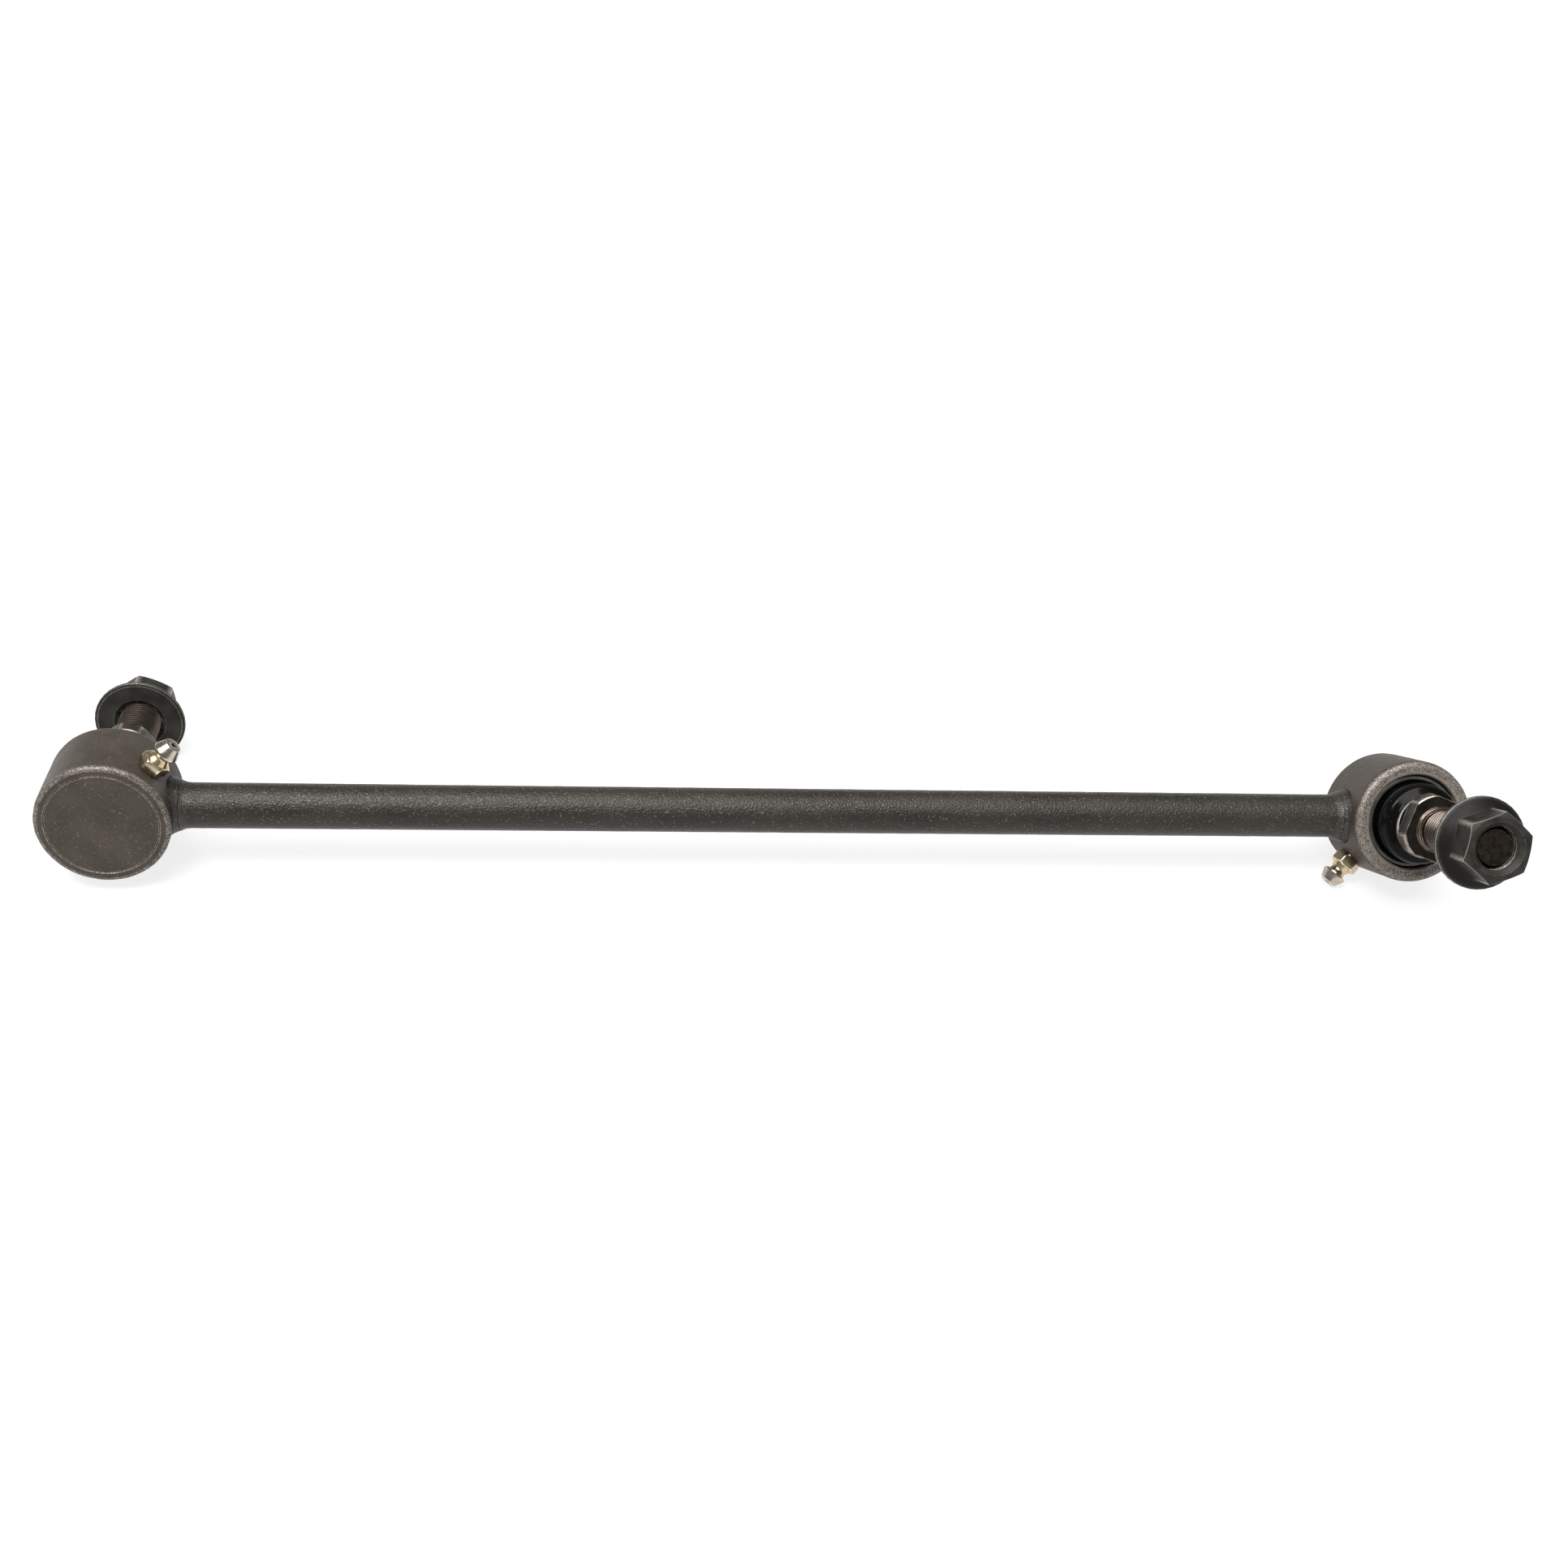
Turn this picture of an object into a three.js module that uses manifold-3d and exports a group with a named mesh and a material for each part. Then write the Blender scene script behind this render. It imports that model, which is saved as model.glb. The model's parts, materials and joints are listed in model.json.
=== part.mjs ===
// Greasable stabiliser bar link: a straight steel rod with a ball joint housing welded on each end.
// Millimetres, +X along the rod, +Z up. The link lies on a flat surface at Z = 0: on the edge of
// its right housing and on the flange of its left nut. The origin is under the middle of its box.
import * as THREE from 'three';
import { mergeVertices } from 'three/addons/utils/BufferGeometryUtils.js';
import Module from 'manifold-3d';

const wasm = await Module();
wasm.setup();

// ---- Driving dimensions ----------------------------------------------------------------------
const LINK_LENGTH = 380;          // ball centre to ball centre
const ROD_R = 6.5;
const CLOCKING = 23.2;            // degrees between the right stud and the line opposite the left stud
const LIE_ANGLE = 10.04;          // degrees that the left housing's axis points down as the link lies
const GAP = 0.3;                  // clearance between neighbouring solids

const HOUSING_R = 18.35;
const BASE_T = -11.4;             // heights along a stud, from the ball centre
const RIM_T = 12.4;
const BORE_R = 13.6;
const SHOULDER_T = 5.4;
const POCKET_T = 8;
const MOUTH_R = 14.1;
const COVER_SEAT_T = -9.1;
const COVER_R = 16.3;
const COVER_FACE_R = 15.3;
const STUB_R = 8.3;               // short stub on the housing that the rod is welded to
const STUB_END = 19.6;            // from the ball centre, along the rod

const BALL_R = 10;
const BALL_FLAT_T = -6.4;
const NECK_R = 5.5;
const COLLAR_T = 23.7;            // wrench collar, from its back to its seat
const SEAT_T = 28.6;
const COLLAR_FLATS = 18.3;
const COLLAR_TURNED_R = 10.55;
const THREAD_R = 6;               // M12
const STUD_END_T = 61.6;

const BOOT_STRAIGHT_T = 9.5;      // the boot bends between these heights
const BOOT_LEANT_T = 19.5;

const NUT_HEIGHT = 12;            // M12 hexagon flange nut
const NUT_FLATS = 18;
const NUT_FLANGE_R = 13.2;
const NUT_FLANGE_H = 4;

const FITTING_T = -2.8;           // grease fitting, height along the stud
const FITTING_ANGLE = 47;         // degrees round the housing from the rod
const FITTING_SHANK_R = 3;        // M6
const FITTING_FLATS = 7;

const BIG = 32;                   // sides of round pieces, by size
const MEDIUM = 24;
const SMALL = 16;

const RIGHT_PITCH = 180 - LIE_ANGLE - CLOCKING;

// Each end of the link: which way its rod points, how far its housing's axis is pitched up from +Y,
// how far its stud leans from that axis about the rod and towards the rod, how far out its nut's
// bearing face sits, how the nut and the wrench collar are turned, and which side of the housing its
// grease fitting is on. Angles are in degrees.
const ENDS = [
  {
    side: 'left', rodward: 1, pitch: -LIE_ANGLE, leanAbout: 1, leanTowards: 0,
    nutFace: 46.8, nutTurn: 23, collarTurn: 56, fitting: -1,
  },
  {
    side: 'right', rodward: -1, pitch: RIGHT_PITCH, leanAbout: 0, leanTowards: 1.55,
    nutFace: 52.1, nutTurn: 20, collarTurn: 70, fitting: 1,
  },
];

// ---- Materials -------------------------------------------------------------------------------
function finish(color, roughness, metalness) {
  return new THREE.MeshStandardMaterial({ color, roughness, metalness });
}

const MATERIALS = {
  coatedSteel: finish(0x4b443e, 0.5, 0.6),
  darkRod: finish(0x3a3833, 0.5, 0.6),
  weld: finish(0x35302c, 0.6, 0.6),
  studSteel: finish(0x5c4e43, 0.4, 0.9),
  blackNut: finish(0x2b2a27, 0.4, 0.8),
  rubber: finish(0x0e0f0f, 0.35, 0),
  springSteel: finish(0x77736c, 0.35, 1),
  sintered: finish(0x8a6f4a, 0.6, 0.8),
  yellowZinc: finish(0xb99a5a, 0.3, 1),
  ballSteel: finish(0xb8b8b8, 0.2, 1),
};

// ---- Geometry helpers ------------------------------------------------------------------------
const radians = THREE.MathUtils.degToRad;
const onSphere = (radius, t) => Math.sqrt(radius * radius - t * t);

// A closed three.js geometry as a solid, with shared vertices merged and its faces pointing out.
function solid(geometry) {
  const bare = geometry.clone();
  bare.deleteAttribute('normal');
  bare.deleteAttribute('uv');
  const merged = mergeVertices(bare, 1e-4);
  const position = merged.getAttribute('position');
  const corner = [0, 1, 2].map(() => new THREE.Vector3());
  const faces = [];
  let volume = 0;
  for (let i = 0; i < merged.index.count; i += 3) {
    const ids = [0, 1, 2].map((k) => merged.index.getX(i + k));
    if (ids[0] === ids[1] || ids[1] === ids[2] || ids[2] === ids[0]) continue;
    ids.forEach((id, k) => corner[k].fromBufferAttribute(position, id));
    volume += corner[0].dot(corner[1].clone().cross(corner[2]));
    faces.push(ids);
  }
  const order = volume < 0 ? [0, 2, 1] : [0, 1, 2];
  return new wasm.Manifold(new wasm.Mesh({
    numProp: 3,
    vertProperties: new Float32Array(position.array),
    triVerts: new Uint32Array(faces.flatMap((ids) => order.map((k) => ids[k]))),
  }));
}

// A round piece about Z. Its profile is [radius, height] points that start and end on the axis.
function turned(profile, sides) {
  const points = profile.map(([r, t]) => new THREE.Vector2(r, t));
  return solid(new THREE.LatheGeometry(points, sides).rotateX(Math.PI / 2));
}

// A ring about Z, from a profile that closes on itself.
const ring = (profile, sides) => turned([...profile, profile[0]], sides);

// A prism about Z with flat sides, the first of them facing the angle turn.
function prism(flats, sides, from, to, turn) {
  const radius = flats / 2 / Math.cos(Math.PI / sides);
  const shape = new THREE.Shape(Array.from({ length: sides }, (_, i) => {
    const angle = radians(turn) + (2 * Math.PI * (i + 0.5)) / sides;
    return new THREE.Vector2(radius * Math.cos(angle), radius * Math.sin(angle));
  }));
  const geometry = new THREE.ExtrudeGeometry(shape, { depth: to - from, bevelEnabled: false });
  return solid(geometry.translate(0, 0, from));
}

// A cylinder that runs out square to the stud, between two distances from its axis.
function spoke(radius, from, to, angle, height, sides) {
  const geometry = new THREE.CylinderGeometry(radius, radius, to - from, sides);
  geometry.rotateZ(-Math.PI / 2).translate((from + to) / 2, 0, 0).rotateZ(radians(angle));
  return solid(geometry.translate(0, 0, height));
}

const arc = (cx, cy, radius, start, end, steps) => Array.from({ length: steps + 1 }, (_, i) => {
  const angle = radians(start + ((end - start) * i) / steps);
  return [cx + radius * Math.cos(angle), cy + radius * Math.sin(angle)];
});

function mesh(name, shape, material) {
  const { vertProperties, triVerts } = shape.getMesh();
  const geometry = new THREE.BufferGeometry();
  geometry.setAttribute('position', new THREE.BufferAttribute(new Float32Array(vertProperties), 3));
  geometry.setIndex(new THREE.BufferAttribute(new Uint32Array(triVerts), 1));
  geometry.computeVertexNormals();
  const result = new THREE.Mesh(geometry, material);
  result.name = name;
  return result;
}

// ---- Pieces of one ball joint, about the stud's axis with the ball centre at the origin ---------
// Forged cup, open at its mouth for the stud and at its base for assembly, with a rolled base lip.
function housing(end) {
  const rim = 3;
  const base = 2.6;
  const body = ring([
    ...arc(HOUSING_R - base, BASE_T + base, base, -90, 0, 3),
    ...arc(HOUSING_R - rim, RIM_T - rim, rim, 0, 90, 3),
    ...arc(MOUTH_R + 0.8, RIM_T - 0.8, 0.8, 90, 180, 1),
    [MOUTH_R, POCKET_T], [10.6, POCKET_T], [9.4, SHOULDER_T], [BORE_R, SHOULDER_T],
    [BORE_R, COVER_SEAT_T], [COVER_R + GAP, COVER_SEAT_T], [COVER_R + GAP, BASE_T + 1],
    [COVER_FACE_R + GAP, BASE_T],
  ], BIG);
  const stub = spoke(STUB_R, BORE_R + 1, STUB_END, 0, 0, MEDIUM);
  const around = end.fitting * FITTING_ANGLE;
  const greaseHole = spoke(FITTING_SHANK_R + GAP, BORE_R - 1, HOUSING_R + 2, around, FITTING_T, SMALL);
  return body.add(stub).subtract(greaseHole);
}

// Disc that closes the base, held by the rolled lip over its chamfered edge.
const coverPlate = () => turned([
  [0, BASE_T + 0.1], [COVER_FACE_R, BASE_T + 0.1], [COVER_R, BASE_T + 1.1],
  [COVER_R, COVER_SEAT_T - GAP], [0, COVER_SEAT_T - GAP],
], BIG);

// Coned spring washer between the cover and the lower bearing, which keeps the ball preloaded.
const preloadSpring = () => ring([[12.8, COVER_SEAT_T], [12.8, -8.3], [8.3, -7.3], [8.3, -8.1]], MEDIUM);

// The ball turns between two sintered bearing rings with spherical seats.
function bearing(from, to) {
  const seat = BALL_R + GAP;
  const outer = BORE_R - GAP;
  const steps = 4;
  const curve = Array.from({ length: steps + 1 }, (_, i) => {
    const t = to + ((from - to) * i) / steps;
    return [onSphere(seat, t), t];
  });
  return ring([[outer, from], [outer, to], ...curve], MEDIUM);
}

// Turns points about the ball centre as far as the stud leans.
const lean = (end) => new THREE.Euler(radians(end.leanAbout), radians(end.leanTowards), 0);

// Rubber boot: a flange in the mouth of the housing, one bulge, and a lip on the stud's neck. It is
// straight at its flange and leans fully with the stud at its lip.
function boot(end) {
  const profile = [
    [13.8, 8.3], [13.8, 9.5], [12.3, 9.5], [12.3, 12.4], [13, 14.8], [12.2, 17.6],
    [9, 19.8], [8.3, 21], [9, 23.3], [6.9, 23.3], [6.9, 19.6], [11, 16.6],
    [11.8, 14.8], [11.2, 12.4], [11.2, 8.3],
  ];
  const points = [...profile, profile[0]].map(([r, t]) => new THREE.Vector2(r, t));
  const geometry = new THREE.LatheGeometry(points, MEDIUM).rotateX(Math.PI / 2);
  const position = geometry.getAttribute('position');
  const upright = new THREE.Quaternion();
  const leant = new THREE.Quaternion().setFromEuler(lean(end));
  const point = new THREE.Vector3();
  for (let i = 0; i < position.count; i += 1) {
    point.fromBufferAttribute(position, i);
    const share = THREE.MathUtils.smoothstep(point.z, BOOT_STRAIGHT_T, BOOT_LEANT_T);
    point.applyQuaternion(upright.clone().slerp(leant, share));
    position.setXYZ(i, point.x, point.y, point.z);
  }
  return solid(geometry);
}
const bootSeatRing = () => ring([[13.8, 9.8], [13.8, 11], [12.6, 11], [12.6, 9.8]], MEDIUM);
const bootNeckRing = () => ring(arc(9.1, 21.5, 0.5, 0, 300, 5), MEDIUM);

// Ball, tapered neck, wrench collar with four flats on a turned flange, and threaded shank.
function ballStud(end) {
  const ball = Array.from({ length: 9 }, (_, i) => {
    const t = BALL_FLAT_T + ((onSphere(BALL_R, NECK_R) - BALL_FLAT_T) * i) / 8;
    return [onSphere(BALL_R, t), t];
  });
  const shank = turned([
    [0, BALL_FLAT_T], ...ball, [NECK_R, 15], [6.6, 19.5], [6.6, SEAT_T - 1], [7.3, SEAT_T - 1],
    [7.3, SEAT_T + 0.5],
    [5.4, SEAT_T + 0.9], [5.4, SEAT_T + 1.6], [THREAD_R, SEAT_T + 2.2], [THREAD_R, STUD_END_T - 0.9],
    [THREAD_R - 0.9, STUD_END_T], [0, STUD_END_T],
  ], MEDIUM);
  const flange = turned([
    [0, COLLAR_T], [COLLAR_TURNED_R - 0.5, COLLAR_T], [COLLAR_TURNED_R, COLLAR_T + 0.5],
    [COLLAR_TURNED_R, SEAT_T - 0.5], [COLLAR_TURNED_R - 0.5, SEAT_T], [0, SEAT_T],
  ], BIG);
  return shank.add(flange.intersect(prism(COLLAR_FLATS, 4, COLLAR_T - 1, SEAT_T + 1, end.collarTurn)));
}

// Hexagon nut with a coned flange, its bearing face down and its bore clear of the thread.
function flangeNut(end) {
  const bore = THREAD_R + GAP;
  const corner = NUT_FLATS / 2 / Math.cos(Math.PI / 6);
  const hexagon = prism(NUT_FLATS, 6, 1, NUT_HEIGHT, end.nutTurn + 30);
  const chamfer = turned([
    [0, 0.5], [corner + 0.5, 0.5], [corner + 0.5, NUT_HEIGHT - 1], [NUT_FLATS / 2 - 0.2, NUT_HEIGHT],
    [0, NUT_HEIGHT],
  ], BIG);
  const flange = turned([
    [0, 0], [NUT_FLANGE_R - 0.3, 0], [NUT_FLANGE_R, 0.4], [NUT_FLANGE_R, 1.3],
    [NUT_FLATS / 2, NUT_FLANGE_H], [0, NUT_FLANGE_H],
  ], MEDIUM);
  const hole = turned([
    [0, -1], [bore + 1.5, -1], [bore, 0.5], [bore, NUT_HEIGHT - 0.6], [bore + 1.6, NUT_HEIGHT + 1],
    [0, NUT_HEIGHT + 1],
  ], MEDIUM);
  return hexagon.intersect(chamfer).add(flange).subtract(hole);
}

// Grease fitting about its own axis, with heights from the housing's surface: shank in the wall,
// hexagon, neck, and the coned head that a grease gun grips. A passage runs through it.
function fittingBody() {
  const passage = [[1.3, 8.4], [1.3, -4.5]];
  const round = ring([
    [FITTING_SHANK_R, -4.5], [FITTING_SHANK_R, 1], [3.4, 1], [3.4, 4], [2.3, 4.6], [2.2, 5.6], [3.25, 6.5],
    [3.25, 7.1], [2.2, 9.6], [0.8, 9.6], [0.8, 9], ...passage,
  ], SMALL);
  const hexagon = prism(FITTING_FLATS, 6, GAP, 3.6, 0);
  const hole = turned([[0, -1], [2.5, -1], [2.5, 5], [0, 5]], SMALL);
  return round.add(hexagon.subtract(hole));
}

const checkBall = () => {
  const steps = 6;
  const profile = Array.from({ length: steps + 1 }, (_, i) => {
    const angle = (Math.PI * i) / steps;
    return [Math.sin(angle), 7.9 - Math.cos(angle)];
  });
  return turned(profile, 12);
};

// Coil spring that holds the check ball up on its seat.
function checkSpring() {
  const turns = 4;
  const steps = turns * 7;
  const path = new THREE.CatmullRomCurve3(Array.from({ length: steps + 1 }, (_, i) => {
    const angle = (2 * Math.PI * turns * i) / steps;
    return new THREE.Vector3(0.8 * Math.cos(angle), 0.8 * Math.sin(angle), -3.6 + (9.9 * i) / steps);
  }));
  const corners = [[0.2, 0], [0, 0.2], [-0.2, 0], [0, -0.2]];
  const wire = new THREE.Shape(corners.map(([x, y]) => new THREE.Vector2(x, y)));
  return solid(new THREE.ExtrudeGeometry(wire, { steps, extrudePath: path, bevelEnabled: false }));
}

// ---- Assembly --------------------------------------------------------------------------------
function fitting(end) {
  const group = new THREE.Group();
  group.add(
    mesh(`${end.side}_grease_fitting`, fittingBody(), MATERIALS.yellowZinc),
    mesh(`${end.side}_check_ball`, checkBall(), MATERIALS.ballSteel),
    mesh(`${end.side}_check_spring`, checkSpring(), MATERIALS.springSteel),
  );
  const angle = radians(end.fitting * FITTING_ANGLE);
  const outward = new THREE.Vector3(Math.cos(angle), Math.sin(angle), 0);
  group.quaternion.setFromUnitVectors(new THREE.Vector3(0, 0, 1), outward);
  group.position.copy(outward).multiplyScalar(HOUSING_R).setZ(FITTING_T);
  return group;
}

// One ball joint. Its group's Z is the housing's axis, and its X points along the rod. The stud and
// what it carries lean within it.
function ballJoint(end) {
  const named = (part) => `${end.side}_${part}`;
  const nut = mesh(named('flange_nut'), flangeNut(end), MATERIALS.blackNut);
  nut.position.z = end.nutFace;
  const leaning = new THREE.Group();
  leaning.rotation.copy(lean(end));
  leaning.add(
    mesh(named('boot_neck_ring'), bootNeckRing(), MATERIALS.springSteel),
    mesh(named('ball_stud'), ballStud(end), MATERIALS.studSteel),
    nut,
  );
  const group = new THREE.Group();
  group.add(
    mesh(named('housing'), housing(end), MATERIALS.coatedSteel),
    mesh(named('cover_plate'), coverPlate(), MATERIALS.coatedSteel),
    mesh(named('preload_spring'), preloadSpring(), MATERIALS.springSteel),
    mesh(named('lower_bearing'), bearing(-7, -0.15), MATERIALS.sintered),
    mesh(named('upper_bearing'), bearing(0.15, 5.1), MATERIALS.sintered),
    mesh(named('boot'), boot(end), MATERIALS.rubber),
    mesh(named('boot_seat_ring'), bootSeatRing(), MATERIALS.springSteel),
    fitting(end),
    leaning,
  );
  const pitch = radians(end.pitch);
  const along = new THREE.Vector3(end.rodward, 0, 0);
  const stud = new THREE.Vector3(0, Math.cos(pitch), Math.sin(pitch));
  group.setRotationFromMatrix(new THREE.Matrix4().makeBasis(along, stud.clone().cross(along), stud));
  group.position.x = (-end.rodward * LINK_LENGTH) / 2;
  return group;
}

// A bead of weld round the rod where it meets the housing's stub.
function weldBead(end) {
  const bead = ring([[ROD_R + GAP, 0], [STUB_R, 0], [7.5, 1.5], [ROD_R + GAP, 4.2]], MEDIUM);
  const result = mesh(`${end.side}_weld_bead`, bead, MATERIALS.weld);
  result.rotation.y = (end.rodward * Math.PI) / 2;
  result.position.x = end.rodward * (STUB_END + GAP - LINK_LENGTH / 2);
  return result;
}

function rod() {
  const half = LINK_LENGTH / 2 - STUB_END - GAP;
  const bar = turned([[0, -half], [ROD_R, -half], [ROD_R, half], [0, half]], MEDIUM);
  const result = mesh('link_rod', bar, MATERIALS.darkRod);
  result.rotation.y = Math.PI / 2;
  return result;
}

const link = new THREE.Group();
link.add(rod(), ...ENDS.flatMap((end) => [ballJoint(end), weldBead(end)]));
link.updateMatrixWorld(true);
const box = new THREE.Box3().setFromObject(link, true);
link.position.set(0, -(box.min.y + box.max.y) / 2, -box.min.z);

export default link;
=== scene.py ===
"""A greasable stabiliser bar link: a coated rod with a ball joint housing welded on each end, two
threaded studs with flange nuts, rubber boots and grease fittings. The CAD frame gives every place;
the sizes below are in millimetres. A name in _R is a radius, and one in _T a height along a stud,
measured from its ball's centre, or along a grease fitting, measured from the housing's surface."""

import json
import math

import bmesh
import bpy
import numpy as np
from mathutils import Matrix, Vector, noise


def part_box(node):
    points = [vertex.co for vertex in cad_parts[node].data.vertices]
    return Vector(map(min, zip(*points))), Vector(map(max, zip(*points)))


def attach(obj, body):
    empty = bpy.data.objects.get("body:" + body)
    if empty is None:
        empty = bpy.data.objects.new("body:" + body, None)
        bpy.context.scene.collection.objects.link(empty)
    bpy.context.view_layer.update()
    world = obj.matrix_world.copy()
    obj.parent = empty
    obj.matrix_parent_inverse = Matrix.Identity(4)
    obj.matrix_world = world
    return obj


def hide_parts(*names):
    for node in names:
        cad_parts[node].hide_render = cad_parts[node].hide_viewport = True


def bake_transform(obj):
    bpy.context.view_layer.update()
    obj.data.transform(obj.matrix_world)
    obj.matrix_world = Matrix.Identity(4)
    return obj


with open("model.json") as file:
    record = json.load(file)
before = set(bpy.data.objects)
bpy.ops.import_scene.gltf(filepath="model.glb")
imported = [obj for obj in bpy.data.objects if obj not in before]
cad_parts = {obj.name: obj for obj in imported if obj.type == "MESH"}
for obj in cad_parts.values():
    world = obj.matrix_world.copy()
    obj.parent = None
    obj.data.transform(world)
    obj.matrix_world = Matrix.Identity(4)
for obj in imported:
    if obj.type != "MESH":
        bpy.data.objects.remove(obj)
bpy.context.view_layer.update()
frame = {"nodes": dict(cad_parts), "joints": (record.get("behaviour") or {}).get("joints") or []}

MM = 0.001

# ---- Sizes in millimetres --------------------------------------------------------------------
ROD_R = 6.5

HOUSING_R = 18.35
BASE_T = -11.4
RIM_T = 12.4
BASE_ROUND = 2.6
RIM_ROUND = 3.0
MOUTH_R = 14.1
POCKET_T = 8.0
SHOULDER_T = 5.4
THROAT_R = 9.4
BORE_R = 13.6
COVER_R = 15.4
COVER_THICK = 2.0
LIP_GAP = 0.12                    # fine gap between the cover and the rolled base lip
POCKET_FLOOR_R = 10.6
PLATE_SEAT_T = BASE_T + 2.3

FLARE_R = 8.35                    # upset end of the rod where it is welded on
SADDLE_END = 19.6                 # from the ball's centre along the rod
FLARE_RING_R = 7.2                # where the stub and the weld meet
FLARE_END = 22.0

LOWER_BEARING = (-7.0, -0.15)     # heights
UPPER_BEARING = (0.15, 5.1)
BEARING_GAP = 0.3
WASHER_IN_R = 8.3
WASHER_OUT_R = 12.8
SEAT_RING_R = (12.6, 13.8)
SEAT_RING_T = (9.8, 11.0)
GARTER_R = 9.1
GARTER_T = 21.5
GARTER_WIRE = 0.42
GARTER_TURNS = 60

CREASE_T = 16.9                   # where the boot's two halves meet
CREASE_R = 12.0
BOOT_WALL = 0.7
BOOT_FLANGE_R = 13.8
BOOT_FLANGE_T = (8.3, 9.5)
SKIRT_R = (10.9, 11.8)
LIP_IN_R = 6.8
LIP_TOP_T = 23.2
BOOT_STRAIGHT_T = 9.5             # the boot leans over between these heights
BOOT_LEANT_T = 19.5
CREASE_ROOM = 0.35                # a band beside the crease
SKIRT_BEND_T = 11.6               # a height on the skirt, below the crease
CROWN_BENT_T = 19.3               # and one on the crown, above it

BALL_R = 10.0
BALL_FLAT_T = -6.4
BALL_TOP_T = 8.3
NECK_R = 5.3
NECK_T = (9.2, 19.5)
NECK_TOP_R = 6.6
NECK_TOP_T = 20.4
COLLAR_T = 23.7
SEAT_T = 28.6
COLLAR_FLATS = 18.3
COLLAR_TURNED_R = 10.55
COLLAR_CHAMFER = 0.55
ROOT_R = 7.0                      # fillet where the thread leaves the collar
THREAD_R = 6.0                    # M12 x 1.25
THREAD_PITCH = 1.25
THREAD_DEPTH = 0.75

NUT_FLATS = 18.0
NUT_HEIGHT = 12.0
NUT_CHAMFER_SLOPE = 0.62
FLANGE_R = 13.2
FLANGE_H = 4.0
FLANGE_EDGE = 1.3                 # thickness of the flange at its edge
NUT_THREAD_R = 6.12               # crest of the nut's thread, just clear of the stud's
NUT_THREAD_DEPTH = 0.72

FITTING_FLATS = 7.4
FITTING_CHAMFER_SLOPE = 0.6
FITTING_BALL_T = 7.9              # check ball, above the housing's surface
FITTING_BALL_R = 1.0
FITTING_HEX_T = 3.62
SHANK_R = 3.0
SHANK_T = -4.5
HEAD_R = 3.75
HEAD_T = 6.85
TIP_R = 2.4
TIP_T = 10.1
TIP_HOLE_R = 0.74
FITTING_BORE_R = 1.3
CHECK_SPRING_T = (-3.6, 6.3)
CHECK_COIL_R = 0.8
CHECK_WIRE_R = 0.18

HOUSING_COLUMNS = 120             # columns round each kind of piece
ROUND_COLUMNS = 96
RING_COLUMNS = 72
ROD_COLUMNS = 56
BALL_COLUMNS = 32
SMOOTH_BELOW = 40                 # degrees between two faces that shade as one


# ---- Places from the frame -------------------------------------------------------------------
def joint(name):
    return next(j for j in frame["joints"] if j["name"] == name)


def axes(along, up, origin):
    """The matrix of a frame whose Z is up and whose X is along."""
    across = up.cross(along)
    columns = (along, across, up)
    rows = [[c[i] for c in columns] + [origin[i]] for i in range(3)]
    return Matrix(rows + [[0, 0, 0, 1]])


def housing_frame(side, rodward):
    """Z is the housing's axis and X points along the rod."""
    tilt = joint(f"{side}_tilt_across_rod")
    along = Vector((rodward, 0, 0))
    return axes(along, along.cross(Vector(tilt["axis"])).normalized(), Vector(tilt["pos_m"]))


def stud_frame(side, rodward):
    """As the housing's, but leaning with the stud."""
    spin = joint(f"{side}_stud_spin")
    up = Vector(spin["axis"]).normalized()
    along = Vector((rodward, 0, 0))
    return axes((along - up * along.dot(up)).normalized(), up, Vector(spin["pos_m"]))


# The frame of a piece that goes round the rod, seen from the housing's frame.
ALONG_ROD = axes(Vector((0, 1, 0)), Vector((1, 0, 0)), Vector((0, 0, 0)))


def span(node, place):
    """Lowest and highest height of a CAD node along a frame's Z, in millimetres."""
    back = place.inverted()
    heights = [(back @ v.co).z / MM for v in frame["nodes"][node].data.vertices]
    return min(heights), max(heights)


# ---- Outlines --------------------------------------------------------------------------------
ARC_STEPS = 5
GUARD = 0.12                      # a row this close to each rounded edge keeps flat faces flat


def outline(corners, step=None):
    """Turns corners (radius, height, rounding, wear) into close points (radius, height, wear)."""
    points = []

    def put(place, wear):
        if step and points:
            last = np.array(points[-1][:2])
            length = np.linalg.norm(place - last)
            for k in range(1, int(length / step) + 1):
                share = k * step / length
                if share < 0.999:
                    mid = last + (place - last) * share
                    points.append((mid[0], mid[1], 0))
        points.append((place[0], place[1], wear))

    for i, (r, t, rounding, wear) in enumerate(corners):
        here = np.array([r, t], float)
        if i in (0, len(corners) - 1) or not rounding:
            put(here, wear)
            continue
        before = np.array(corners[i - 1][:2], float) - here
        after = np.array(corners[i + 1][:2], float) - here
        length = min(np.linalg.norm(before), np.linalg.norm(after))
        before /= np.linalg.norm(before)
        after /= np.linalg.norm(after)
        half = math.acos(max(-1, min(1, before @ after))) / 2
        cut = min(rounding / math.tan(half), 0.46 * length)
        radius = cut * math.tan(half)
        middle = (before + after) / np.linalg.norm(before + after)
        centre = here + middle * radius / math.sin(half)
        start, end = here + before * cut, here + after * cut
        from_angle = math.atan2(*(start - centre)[::-1])
        sweep = math.atan2(*(end - centre)[::-1]) - from_angle
        sweep = (sweep + math.pi) % (2 * math.pi) - math.pi
        guard = min(GUARD, 0.5 * (length - cut))
        put(start + before * guard, 0)
        for k in range(ARC_STEPS + 1):
            angle = from_angle + sweep * k / ARC_STEPS
            put(centre + radius * np.array([math.cos(angle), math.sin(angle)]), wear)
        put(end + after * guard, 0)
    return points


def circle(columns):
    return np.linspace(0, 2 * math.pi, columns + 1)


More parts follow.
